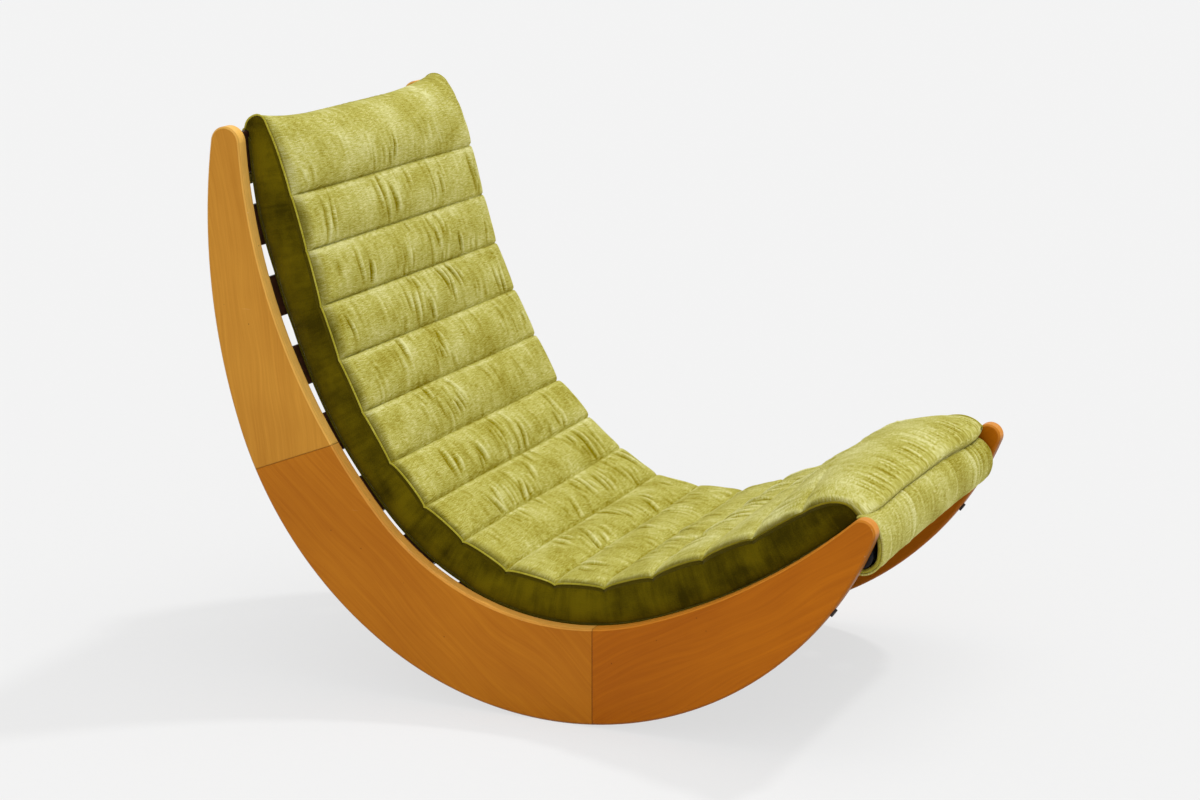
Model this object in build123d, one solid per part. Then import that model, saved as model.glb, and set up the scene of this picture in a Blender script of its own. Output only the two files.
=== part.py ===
"""Rocking lounge chair: two crescent side panels, dark cross slats and a channelled loose cushion.

Sizes are millimetres and degrees. X runs across the chair, the sitter faces -Y and Z is up.
The origin is the point of the floor under the centre of the rocker arc, midway between the panels.
A place along the chair is given by its distance along the panels' seat edge, measured from the
edge's lowest point and positive up the backrest, and by its height above that edge.
"""
import math
import os

from build123d import *

# Side panels
CHAIR_WIDTH = 680.0
PANEL_THICKNESS = 25.0
PANEL_EDGE_EASE = 3.0
PANEL_TOP = 910.0
FRONT_TIP_ROUND = 21.0

# Outer edge: the rocker arc, then two flatter arcs up the back, each from its own angle.
# Each arc's radius is written as its gain on the arc before it
ROCKER_RADIUS = 559.0
SHOULDER_GAIN = 69.0
SHOULDER_START_ANGLE = 34.0
BACK_GAIN = 387.0
BACK_START_ANGLE = 72.0

# Seat edge: an arc under the sitter that is tighter than the rocker arc by a set-in, with
# flatter arcs to the front and up the backrest
SEAT_LOW = 157.5
SEAT_AHEAD = 11.5
SEAT_SET_IN = 135.0
FRONT_GAIN = 556.0
FRONT_START_ANGLE = -19.0
BACKREST_GAIN = 546.0
BACKREST_START_ANGLE = 49.0

# Board joints of each panel, with a loose tongue glued across each
FRONT_JOINT_AHEAD = 66.0
BACK_JOINT_ANGLE = 69.0
TONGUE_THICKNESS = 6.0
TONGUE_WIDTH = 24.0
TONGUE_STOP = 32.0
TONGUE_CLEARANCE = 0.1

# Cross slats, evenly spaced from the top rail down, with a stub tenon at each end
TOP_RAIL_DROP = 42.5
SLAT_PITCH = 117.0
SLAT_BAR_GAP = 10.0
SLAT_WIDTH = 67.0
SLAT_THICKNESS = 12.0
SLAT_EDGE_ROUND = 3.0
SLAT_DROP = 3.0
TENON_LENGTH = 12.0
TENON_SHOULDER = 9.0
TENON_CHEEK = 3.0
TENON_CLEARANCE = 0.1
TENON_END_GAP = 0.5

# Front bar: a steel tube between the front tips, on a stepped plug at each end
BAR_FROM_TIP = 37.75
BAR_DEPTH = 46.0
BAR_DIAMETER = 40.0
BAR_WALL = 9.0
BAR_END_GAP = 12.0
PLUG_LENGTH = 45.0
PLUG_CLEARANCE = 0.05
PLUG_CHAMFER = 2.0
SPIGOT_DIAMETER = 16.0
SPIGOT_DEPTH = 14.0
SPIGOT_CLEARANCE = 0.1

# Rubber stops in the runners' front edge
STOP_ANGLE = -54.6
STOP_DIAMETER = 14.0
STOP_PROUD = 3.5
STOP_STEM_DIAMETER = 6.0
STOP_STEM_LENGTH = 12.0
STOP_CLEARANCE = 0.1

# Cushion: equal channels from the top down, and a roll over the front bar. Its solid is the
# sewn cover with its quilted wadding, and the loose filling inside weighs next to nothing
CHANNEL_PITCH = 97.4
CUSHION_OVERHANG = 20.5
CUSHION_SIDE_GAP = 12.0
SEAM_HEIGHT = 66.0
CHANNEL_CROWN = 15.0
COVER_THICKNESS = 6.0
SIDE_ROUND = 32.0
SIDE_STEP = 8.0
SIDE_DRAW = 21.0
SIDE_STEP_DRAW = 8.0
SIDE_CROWN = 1.5
SIDE_STEP_CROWN = 7.5
SHOULDER_CROWN = 13.5
TOP_BULGE = 30.0
ROLL_AHEAD = 2.0
ROLL_SHOULDER = 30.0
ROLL_TUCK = 30.0
ROLL_BULGE = 41.0
CUSHION_CLEARANCE = 0.4

# Pockets of cloth at the cushion's two ends, which slip over the end rails
FLAP_THICKNESS = 5.0
FLAP_SIDE_GAP = 17.0
FLAP_SLACK = 1.0
FLAP_BEND = 8.0
FRONT_FLAP_TAB = 28.0
FRONT_FLAP_RETURN = 26.0
TOP_FLAP_HEM = 52.0

INNER_HALF = CHAIR_WIDTH / 2 - PANEL_THICKNESS
PANEL_MIDDLE = CHAIR_WIDTH / 2 - PANEL_THICKNESS / 2


def down(angle):
    """Direction in the side view at an angle from straight down, positive to the back."""
    return math.sin(math.radians(angle)), -math.cos(math.radians(angle))


def next_centre(centre, radius, angle, next_radius):
    """Centre of the arc that goes on from another arc at an angle, with no kink."""
    y, z = down(angle)
    return centre[0] + y * (radius - next_radius), centre[1] + z * (radius - next_radius)


SHOULDER_RADIUS = ROCKER_RADIUS + SHOULDER_GAIN
BACK_RADIUS = SHOULDER_RADIUS + BACK_GAIN
SEAT_RADIUS = ROCKER_RADIUS - SEAT_SET_IN
FRONT_RADIUS = SEAT_RADIUS + FRONT_GAIN
BACKREST_RADIUS = SEAT_RADIUS + BACKREST_GAIN
ROCKER_CENTRE = (0.0, ROCKER_RADIUS)
SHOULDER_CENTRE = next_centre(ROCKER_CENTRE, ROCKER_RADIUS, SHOULDER_START_ANGLE, SHOULDER_RADIUS)
BACK_CENTRE = next_centre(SHOULDER_CENTRE, SHOULDER_RADIUS, BACK_START_ANGLE, BACK_RADIUS)
SEAT_CENTRE = (-SEAT_AHEAD, SEAT_LOW + SEAT_RADIUS)
FRONT_CENTRE = next_centre(SEAT_CENTRE, SEAT_RADIUS, FRONT_START_ANGLE, FRONT_RADIUS)
BACKREST_CENTRE = next_centre(SEAT_CENTRE, SEAT_RADIUS, BACKREST_START_ANGLE, BACKREST_RADIUS)
FRONT_START_PLACE = math.radians(FRONT_START_ANGLE) * SEAT_RADIUS
BACKREST_START_PLACE = math.radians(BACKREST_START_ANGLE) * SEAT_RADIUS


def seat_arc(place):
    """Centre, radius and angle of the seat edge at a distance along it."""
    if place < FRONT_START_PLACE:
        turn = math.degrees((place - FRONT_START_PLACE) / FRONT_RADIUS)
        return FRONT_CENTRE, FRONT_RADIUS, FRONT_START_ANGLE + turn
    if place > BACKREST_START_PLACE:
        turn = math.degrees((place - BACKREST_START_PLACE) / BACKREST_RADIUS)
        return BACKREST_CENTRE, BACKREST_RADIUS, BACKREST_START_ANGLE + turn
    return SEAT_CENTRE, SEAT_RADIUS, math.degrees(place / SEAT_RADIUS)


def on_arc(centre, radius, angle, x=0.0):
    y, z = down(angle)
    return Vector(x, centre[0] + y * radius, centre[1] + z * radius)


def at(place, height, x=0.0):
    """Point above the seat edge, at a distance along it."""
    centre, radius, angle = seat_arc(place)
    return on_arc(centre, radius - height, angle, x)


def arc(centre, radius, start, end, x=0.0):
    middle = (start + end) / 2
    points = [on_arc(centre, radius, angle, x) for angle in (start, middle, end)]
    return ThreePointArc(*points)


def angle_to(centre, point):
    return math.degrees(math.atan2(point[0] - centre[0], centre[1] - point[1]))


def reach(start, direction, centre, radius):
    """Distance from a point inside a circle, along a direction, to the circle."""
    y, z = start[0] - centre[0], start[1] - centre[1]
    along = y * direction[0] + z * direction[1]
    return math.sqrt(along**2 - y**2 - z**2 + radius**2) - along


def front_tip_centre():
    """Centre of the front tip's round, which touches the rocker arc and the front seat edge."""
    far = ROCKER_RADIUS - FRONT_TIP_ROUND
    near = FRONT_RADIUS + FRONT_TIP_ROUND
    gap_y = FRONT_CENTRE[0] - ROCKER_CENTRE[0]
    gap_z = FRONT_CENTRE[1] - ROCKER_CENTRE[1]
    gap = math.hypot(gap_y, gap_z)
    along = (far**2 - near**2 + gap**2) / (2 * gap)
    aside = math.sqrt(far**2 - along**2)
    y = ROCKER_CENTRE[0] + (along * gap_y - aside * gap_z) / gap
    z = ROCKER_CENTRE[1] + (along * gap_z + aside * gap_y) / gap
    return y, z


def beside(centre, radius, z):
    """How far back a circle reaches at a height."""
    return centre[0] + math.sqrt(radius**2 - (z - centre[1]) ** 2)


def top_tip():
    """Centre and radius of the top tip's round, which touches both edges and the panel's top."""
    small, large = 0.0, PANEL_TOP / 4
    for _ in range(50):
        tip = (small + large) / 2
        back_y = beside(BACK_CENTRE, BACK_RADIUS - tip, PANEL_TOP - tip)
        rest_y = beside(BACKREST_CENTRE, BACKREST_RADIUS + tip, PANEL_TOP - tip)
        if back_y > rest_y:
            small = tip
        else:
            large = tip
    return (rest_y, PANEL_TOP - tip), tip


def panel_outline(x):
    """Closed outline of a side panel: a crescent with rounded tips."""
    front = front_tip_centre()
    low_angle = angle_to(ROCKER_CENTRE, front)
    front_angle = angle_to(FRONT_CENTRE, front)
    top, top_round = top_tip()
    back_angle = angle_to(BACK_CENTRE, top)
    rest_angle = angle_to(BACKREST_CENTRE, top)
    return [
        arc(ROCKER_CENTRE, ROCKER_RADIUS, low_angle, SHOULDER_START_ANGLE, x),
        arc(SHOULDER_CENTRE, SHOULDER_RADIUS, SHOULDER_START_ANGLE, BACK_START_ANGLE, x),
        arc(BACK_CENTRE, BACK_RADIUS, BACK_START_ANGLE, back_angle, x),
        arc(top, top_round, back_angle, rest_angle + 180, x),
        arc(BACKREST_CENTRE, BACKREST_RADIUS, rest_angle, BACKREST_START_ANGLE, x),
        arc(SEAT_CENTRE, SEAT_RADIUS, BACKREST_START_ANGLE, FRONT_START_ANGLE, x),
        arc(FRONT_CENTRE, FRONT_RADIUS, FRONT_START_ANGLE, front_angle, x),
        arc(front, FRONT_TIP_ROUND, front_angle + 180, low_angle + 360, x),
    ]


def top_rail_place():
    """Place of the top rail, a set distance down the backrest from the panel's top."""
    top_angle = math.degrees(math.acos((BACKREST_CENTRE[1] - PANEL_TOP) / BACKREST_RADIUS))
    turn = math.radians(top_angle - BACKREST_START_ANGLE)
    return BACKREST_START_PLACE + turn * BACKREST_RADIUS - TOP_RAIL_DROP


def bar_place():
    """Place of the front bar, a set distance behind the front tip."""
    turn = math.radians(angle_to(FRONT_CENTRE, front_tip_centre()) - FRONT_START_ANGLE)
    return FRONT_START_PLACE + turn * FRONT_RADIUS + BAR_FROM_TIP


TOP_RAIL_PLACE = top_rail_place()
BAR_PLACE = bar_place()
CUSHION_TOP_PLACE = TOP_RAIL_PLACE + CUSHION_OVERHANG
ROLL_PLACE = BAR_PLACE - ROLL_AHEAD


def slat_places():
    """Places of the top rail and of the slats below it, as many as fit above the front bar."""
    wrapped_bar = BAR_DIAMETER / 2 + FLAP_SLACK + FLAP_THICKNESS
    lowest = BAR_PLACE + wrapped_bar + SLAT_BAR_GAP + SLAT_WIDTH / 2
    count = int((TOP_RAIL_PLACE - lowest) / SLAT_PITCH)
    return [TOP_RAIL_PLACE - SLAT_PITCH * n for n in range(count + 1)]


def slat_plane(place):
    """Plane on a slat's upper face: its X runs along the slat and its Z points to the sitter."""
    y, z = down(seat_arc(place)[2])
    return Plane(origin=at(place, -SLAT_DROP), x_dir=(1, 0, 0), z_dir=(0, -y, -z))


def tenon(length, grow):
    """The tenons of a slat as one bar that runs through it, or the space for them."""
    width = SLAT_WIDTH - 2 * TENON_SHOULDER
    thickness = SLAT_THICKNESS - 2 * TENON_CHEEK
    bar = Box(length, width + 2 * grow, thickness + 2 * grow)
    return Pos(0, 0, -SLAT_THICKNESS / 2) * bar


def slat(place):
    """A cross slat with eased edges and a tenon at each end."""
    body = Pos(0, 0, -SLAT_THICKNESS / 2) * Box(2 * INNER_HALF, SLAT_WIDTH, SLAT_THICKNESS)
    body = fillet(body.edges().filter_by(Axis.X), SLAT_EDGE_ROUND)
    return slat_plane(place) * (body + tenon(2 * (INNER_HALF + TENON_LENGTH), 0))


def mortises(place):
    length = 2 * (INNER_HALF + TENON_LENGTH + TENON_END_GAP)
    return slat_plane(place) * tenon(length, TENON_CLEARANCE)


def bar_plane(x):
    """Plane across the front bar: its Z runs along the bar to the sitter's left."""
    return Plane(origin=at(BAR_PLACE, -BAR_DEPTH, x), x_dir=(0, 1, 0), z_dir=(1, 0, 0))


def front_bar():
    """The steel tube, cut a little short of both panels."""
    length = 2 * (INNER_HALF - BAR_END_GAP)
    bore = Cylinder(BAR_DIAMETER / 2 - BAR_WALL, length)
    return bar_plane(0) * (Cylinder(BAR_DIAMETER / 2, length) - bore)


def bar_plug():
    """Turned plug in the bar's end on the sitter's right, with a spigot for the panel."""
    bar_end = INNER_HALF - BAR_END_GAP
    radius = BAR_DIAMETER / 2 - BAR_WALL - PLUG_CLEARANCE
    up = (Align.CENTER, Align.CENTER, Align.MIN)
    plug = Cylinder(radius, PLUG_LENGTH, align=up)
    plug = chamfer(plug.edges().group_by(Axis.Z)[-1], PLUG_CHAMFER)
    spigot = Cylinder(SPIGOT_DIAMETER / 2, BAR_END_GAP + SPIGOT_DEPTH, align=up)
    return bar_plane(-bar_end) * plug + bar_plane(-INNER_HALF - SPIGOT_DEPTH) * spigot


def spigot_hole():
    deep = SPIGOT_DEPTH + SPIGOT_CLEARANCE
    return bar_plane(-INNER_HALF) * Cylinder(SPIGOT_DIAMETER / 2 + SPIGOT_CLEARANCE, 2 * deep)


def board_joints():
    """Both board joints of a panel: a start above it, the way across it, and its two edges."""
    low_start = (-FRONT_JOINT_AHEAD, ROCKER_RADIUS)
    low_edges = (SEAT_CENTRE, SEAT_RADIUS), (ROCKER_CENTRE, ROCKER_RADIUS)
    high_edges = (BACKREST_CENTRE, BACKREST_RADIUS), (SHOULDER_CENTRE, SHOULDER_RADIUS)
    return [
        (low_start, down(0), low_edges),
        (ROCKER_CENTRE, down(BACK_JOINT_ANGLE), high_edges),
    ]


def joint_plane(joint, x=0.0):
    """Plane across a panel at a board joint: its Y runs out to the rim and its Z to the back."""
    start, (y, z), edges = joint
    inner, outer = [reach(start, (y, z), *edge) for edge in edges]
    middle = (inner + outer) / 2
    origin = (x, start[0] + y * middle, start[1] + z * middle)
    return Plane(origin=origin, x_dir=(-1, 0, 0), z_dir=(0, -z, y)), outer - inner


def joint_tongue(joint, x, grow):
    """Loose tongue in a board joint, stopped short of both edges, or the groove for it."""
    plane, depth = joint_plane(joint, x)
    length = depth - 2 * TONGUE_STOP
    return plane * Box(TONGUE_THICKNESS + 2 * grow, length + 2 * grow, TONGUE_WIDTH + 2 * grow)


def stop_plane(x):
    y, z = down(STOP_ANGLE)
    rim = on_arc(ROCKER_CENTRE, ROCKER_RADIUS + STOP_CLEARANCE, STOP_ANGLE, x)
    return Plane(origin=rim, x_dir=(1, 0, 0), z_dir=(0, y, z))


def runner_stop(x):
    """Rubber stop: a round head on the runner's edge and a stem in the wood."""
    head = Cylinder(STOP_DIAMETER / 2, STOP_PROUD, align=(Align.CENTER, Align.CENTER, Align.MIN))
    stem = Cylinder(
        STOP_STEM_DIAMETER / 2,
        STOP_STEM_LENGTH,
        align=(Align.CENTER, Align.CENTER, Align.MAX),
    )
    return stop_plane(x) * (head + stem)


def stop_hole(x):
    hole = Cylinder(
        STOP_STEM_DIAMETER / 2 + STOP_CLEARANCE,
        2 * (STOP_STEM_LENGTH + STOP_CLEARANCE),
    )
    return stop_plane(x) * hole


def side_boards():
    """The three boards of the panel on the sitter's right, from the front to the back."""
    outline = make_face(Wire(panel_outline(-CHAIR_WIDTH / 2)))
    panel = extrude(outline, PANEL_THICKNESS, dir=(1, 0, 0))
    edges = panel.edges()
    rims = edges.group_by(Axis.X)[0] + edges.group_by(Axis.X)[-1]
    panel = chamfer(rims, PANEL_EDGE_EASE)
    for place in slat_places():
        panel -= mortises(place)
    panel -= spigot_hole()
    panel -= stop_hole(-PANEL_MIDDLE)
    joints = board_joints()
    for joint in joints:
        panel -= joint_tongue(joint, -PANEL_MIDDLE, TONGUE_CLEARANCE)
    low, high = [joint_plane(joint)[0] for joint in joints]
    front = split(panel, bisect_by=low, keep=Keep.BOTTOM)
    rest = split(panel, bisect_by=low, keep=Keep.TOP)
    seat = split(rest, bisect_by=high, keep=Keep.BOTTOM)
    back = split(rest, bisect_by=high, keep=Keep.TOP)
    return front, seat, back


def cushion_base():
    """Height of the cushion's underside: it rests on the edges of the flat slats."""
    rise = SEAT_RADIUS - math.sqrt(SEAT_RADIUS**2 - (SLAT_WIDTH / 2) ** 2)
    return rise + CUSHION_CLEARANCE - SLAT_DROP


def cushion_section(x, inset, crown):
    """Side view of the cushion at a distance across it, drawn in by an inset near its sides."""
    low = cushion_base() + inset
    high = SEAM_HEIGHT - inset
    share = (high - low) / (SEAM_HEIGHT - cushion_base())
    top = CUSHION_TOP_PLACE - inset
    roll = ROLL_PLACE + inset
    tuck = roll - ROLL_TUCK * share
    count = int((CUSHION_TOP_PLACE - ROLL_PLACE - ROLL_SHOULDER) / CHANNEL_PITCH)
    seams = [CUSHION_TOP_PLACE - CHANNEL_PITCH * (n + 1) for n in range(count)]
    ends = [top, *seams, roll]
    middle = (low + high) / 2
    front_angle = seat_arc(tuck)[2]
    top_angle = seat_arc(top)[2]
    outline = [
        arc(FRONT_CENTRE, FRONT_RADIUS - low, front_angle, FRONT_START_ANGLE, x),
        arc(SEAT_CENTRE, SEAT_RADIUS - low, FRONT_START_ANGLE, BACKREST_START_ANGLE, x),
        arc(BACKREST_CENTRE, BACKREST_RADIUS - low, BACKREST_START_ANGLE, top_angle, x),
        ThreePointArc(at(top, low, x), at(top + TOP_BULGE * share, middle, x), at(top, high, x)),
    ]
    for above, below in zip(ends, ends[1:]):
        rise = crown * (above - below) / CHANNEL_PITCH
        crest = at((above + below) / 2, high + rise, x)
        outline.append(ThreePointArc(at(above, high, x), crest, at(below, high, x)))
    nose = at(roll - ROLL_BULGE * share, low + (middle - low) * 2 / 3, x)
    outline.append(ThreePointArc(at(roll, high, x), nose, at(tuck, low, x)))
    return make_face(Wire(outline))


def loft_across(side, middle):
    """Loft across the chair through sections of one side, the middle and the other side."""
    across = [(-x, inset, crown) for x, inset, crown in side]
    across += [middle]
    across += reversed(side)
    return loft([cushion_section(*section) for section in across], ruled=True)


def cushion():
    """Channelled cushion cover with a crown and drawn-in sides, hollow for its filling."""
    half = INNER_HALF - CUSHION_SIDE_GAP
    shoulder = half - SIDE_ROUND
    wall = COVER_THICKNESS
    outside = [
        (half, SIDE_DRAW, SIDE_CROWN),
        (half - SIDE_STEP, SIDE_STEP_DRAW, SIDE_STEP_CROWN),
        (shoulder, 0, SHOULDER_CROWN),
    ]
    inside = [(half - wall, SIDE_DRAW + wall, SIDE_CROWN), (shoulder, wall, SHOULDER_CROWN)]
    cover = loft_across(outside, (0, 0, CHANNEL_CROWN))
    return cover - loft_across(inside, (0, wall, CHANNEL_CROWN))


def strip(path):
    """A strip of cloth along a path in the side view, across the whole cushion."""
    profile = make_face(offset(path, FLAP_THICKNESS / 2, kind=Kind.ARC, side=Side.BOTH))
    return extrude(profile, INNER_HALF - FLAP_SIDE_GAP, dir=(1, 0, 0), both=True)


def front_flap():
    """Pocket from under the front roll, down over the front bar and up behind it."""
    half = FLAP_THICKNESS / 2
    under = cushion_base() - CUSHION_CLEARANCE - half
    lip = at(ROLL_PLACE - ROLL_TUCK, under)
    middle = at(BAR_PLACE, -BAR_DEPTH)
    bar = (middle.Y, middle.Z)
    round_bar = BAR_DIAMETER / 2 + FLAP_SLACK + half
    ahead = on_arc(bar, round_bar, -90)
    behind = on_arc(bar, round_bar, 90)
    points = [
        at(ROLL_PLACE - ROLL_TUCK + FRONT_FLAP_TAB, under),
        lip,
        Vector(0, ahead.Y, lip.Z),
        ahead,
    ]
    path = FilletPolyline(*points, radius=FLAP_BEND).edges()
    path += [arc(bar, round_bar, -90, 90), Line(behind, behind + (0, 0, FRONT_FLAP_RETURN))]
    return strip(Wire(path))


def top_flap():
    """Pocket from the cushion's top end, over the top rail and down its back."""
    half = FLAP_THICKNESS / 2
    back = -SLAT_DROP - SLAT_THICKNESS - FLAP_SLACK - half
    over = TOP_RAIL_PLACE + SLAT_WIDTH / 2 + FLAP_SLACK + half
    points = [
        at(over, cushion_base()),
        at(over, back),
        at(TOP_RAIL_PLACE, back),
        at(TOP_RAIL_PLACE - TOP_FLAP_HEM, back),
    ]
    return strip(FilletPolyline(*points, radius=FLAP_BEND))


def main():
    os.makedirs("parts", exist_ok=True)
    nodes = {}
    for name, board in zip(("front", "seat", "back"), side_boards()):
        nodes[f"right_{name}_board"] = board
        nodes[f"left_{name}_board"] = mirror(board, about=Plane.YZ)
    tongues = [joint_tongue(joint, -PANEL_MIDDLE, 0) for joint in board_joints()]
    nodes["right_joint_tongues"] = Compound(tongues)
    nodes["left_joint_tongues"] = mirror(Compound(tongues), about=Plane.YZ)
    top_place, *places = slat_places()
    nodes["top_rail"] = slat(top_place)
    for n, place in enumerate(places, start=1):
        nodes[f"slat_{n:02d}"] = slat(place)
    nodes["front_bar"] = front_bar()
    plug = bar_plug()
    nodes["front_bar_plugs"] = Compound([plug, mirror(plug, about=Plane.YZ)])
    nodes["runner_stops"] = Compound([runner_stop(x) for x in (-PANEL_MIDDLE, PANEL_MIDDLE)])
    nodes["cushion"] = cushion()
    nodes["front_flap"] = front_flap()
    nodes["top_flap"] = top_flap()
    for name, shape in nodes.items():
        export_step(shape, f"parts/{name}.step")


main()
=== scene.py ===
"""Looks of the rocking lounge chair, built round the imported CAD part.

Lengths are in millimetres in the shape code and in metres in the meshes.
The frame is the part's own: X across, the sitter faces -Y, Z up, floor at Z = 0.
"""

import math

import bmesh
import bpy
import numpy as np
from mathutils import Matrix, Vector


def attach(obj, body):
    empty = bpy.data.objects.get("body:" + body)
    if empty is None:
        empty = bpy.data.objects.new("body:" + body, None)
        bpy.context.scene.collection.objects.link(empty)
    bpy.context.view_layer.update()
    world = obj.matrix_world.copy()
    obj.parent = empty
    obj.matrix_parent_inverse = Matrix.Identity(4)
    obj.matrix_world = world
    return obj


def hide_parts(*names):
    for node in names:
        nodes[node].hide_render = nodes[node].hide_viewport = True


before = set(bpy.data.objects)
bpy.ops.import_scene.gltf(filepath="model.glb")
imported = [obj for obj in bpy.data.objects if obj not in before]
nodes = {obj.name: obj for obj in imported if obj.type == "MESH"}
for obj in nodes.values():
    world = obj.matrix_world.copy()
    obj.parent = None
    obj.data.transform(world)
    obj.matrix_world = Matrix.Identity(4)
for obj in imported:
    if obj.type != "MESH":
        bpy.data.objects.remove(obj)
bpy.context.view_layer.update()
scene = bpy.context.scene
rng = np.random.default_rng(20)

# Camera at the photograph's angle
AIM = Vector((0.0, 0.07114, 0.44097))
AZIMUTH, ELEVATION, DISTANCE = math.radians(-66.08), math.radians(13.22), 4.765
SENSOR_WIDTH, FOCAL_LENGTH = 36.0, 86.4
level = math.cos(ELEVATION)
back = Vector((math.sin(AZIMUTH) * level, -math.cos(AZIMUTH) * level, math.sin(ELEVATION)))
lens = bpy.data.cameras.new("camera")
lens.sensor_width, lens.lens = SENSOR_WIDTH, FOCAL_LENGTH
camera = bpy.data.objects.new("camera", lens)
camera.location = AIM + back * DISTANCE
camera.rotation_mode = "QUATERNION"
camera.rotation_quaternion = (-back).to_track_quat("-Z", "Y")
scene.collection.objects.link(camera)
scene.camera = camera
scene.view_settings.view_transform = "Standard"

# The seat line of the side view: three tangent arcs, with a place along it and a height over it
SEAT_FROM, SEAT_TO, SEAT_RADIUS = math.radians(-19), math.radians(49), 424.0
FRONT_RADIUS, BACK_RADIUS = 980.0, 970.0
SEAT_CENTRE, FRONT_CENTRE, BACK_CENTRE = (-11.5, 581.5), (169.516, 1107.208), (-423.571, 939.708)
FIRST_SEAM, CHANNEL_PITCH, CHANNELS = 907.6, 97.4, 14
SEAMS = [FIRST_SEAM - CHANNEL_PITCH * n for n in range(CHANNELS + 1)]
# Height of the cushion's underside over the seat line
BASE = -1.0


def at(place, height):
    """Y and Z of points given by their place along the seat line and height over it."""
    place, height = np.broadcast_arrays(np.asarray(place, float), np.asarray(height, float))
    low, high = SEAT_RADIUS * SEAT_FROM, SEAT_RADIUS * SEAT_TO
    front, rear = place < low, place > high
    angle = np.where(front, SEAT_FROM + (place - low) / FRONT_RADIUS,
                     np.where(rear, SEAT_TO + (place - high) / BACK_RADIUS, place / SEAT_RADIUS))
    radius = np.where(front, FRONT_RADIUS, np.where(rear, BACK_RADIUS, SEAT_RADIUS)) - height
    centre_y, centre_z = (np.where(front, FRONT_CENTRE[k], np.where(rear, BACK_CENTRE[k], SEAT_CENTRE[k]))
                          for k in range(2))
    return centre_y + np.sin(angle) * radius, centre_z - np.cos(angle) * radius


STEPS_BETWEEN = 24


def smooth_path(points, count):
    """Points spaced evenly along a smooth line through the given ones."""
    p = np.asarray(points, float)
    ext = np.vstack([2 * p[0] - p[1], p, 2 * p[-1] - p[-2]])
    fine = []
    for i in range(len(p) - 1):
        a, b, c, d = ext[i:i + 4]
        t = np.linspace(0, 1, STEPS_BETWEEN, endpoint=False)[:, None]
        square, cube = 2 * a - 5 * b + 4 * c - d, 3 * b - a - 3 * c + d
        fine.append(0.5 * (2 * b + (c - a) * t + square * t ** 2 + cube * t ** 3))
    fine = np.vstack(fine + [p[-1:]])
    run = np.concatenate([[0], np.cumsum(np.linalg.norm(np.diff(fine, axis=0), axis=1))])
    want = np.linspace(0, run[-1], count)
    return np.stack([np.interp(want, run, fine[:, k]) for k in range(fine.shape[1])], 1)


def new_piece(name, verts, faces, material, smooth=True):
    """A mesh object from points in millimetres."""
    mesh = bpy.data.meshes.new(name)
    mesh.from_pydata((np.asarray(verts) / 1000.0).tolist(), [], faces)
    mesh.validate()
    mesh.materials.append(material)
    mesh.polygons.foreach_set("use_smooth", [smooth] * len(mesh.polygons))
    mesh.update()
    obj = bpy.data.objects.new(name, mesh)
    scene.collection.objects.link(obj)
    return obj


def grid_faces(rows, cols, start=0, flip=False):
    """Quads over a grid of rows by cols points."""
    i = np.arange(rows - 1)[:, None] * cols + np.arange(cols - 1)[None, :] + start
    quads = np.stack([i, i + 1, i + cols + 1, i + cols], -1).reshape(-1, 4)
    if flip:
        quads = quads[:, ::-1]
    return quads.tolist()


def attribute(obj, name, kind, values):
    """A named value at each point of a mesh."""
    a = obj.data.attributes.new(name, kind, "POINT")
    key = "vector" if kind == "FLOAT_VECTOR" else "value"
    a.data.foreach_set(key, np.asarray(values, np.float32).ravel())


TUBE_SIDES = 8


def tube(name, line, radius, material):
    """A closed round tube along a line of points: a welt or a hem."""
    sides = TUBE_SIDES
    line = np.asarray(line, float)
    tangent = np.gradient(line, axis=0)
    tangent /= np.linalg.norm(tangent, axis=1)[:, None]
    across = np.array([1.0, 0, 0])
    side = np.cross(tangent, across)
    side /= np.linalg.norm(side, axis=1)[:, None]
    other = np.cross(tangent, side)
    turn = np.linspace(0, 2 * math.pi, sides, endpoint=False)
    ring = side[:, None] * np.cos(turn)[None, :, None] + other[:, None] * np.sin(turn)[None, :, None]
    verts = (line[:, None] + radius * ring).reshape(-1, 3)
    faces = []
    for r in range(len(line) - 1):
        for s in range(sides):
            a, b = r * sides + s, r * sides + (s + 1) % sides
            faces.append((a, b, b + sides, a + sides))
    faces.append(tuple(range(sides))[::-1])
    faces.append(tuple((len(line) - 1) * sides + s for s in range(sides)))
    return new_piece(name, verts, faces, material)


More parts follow.
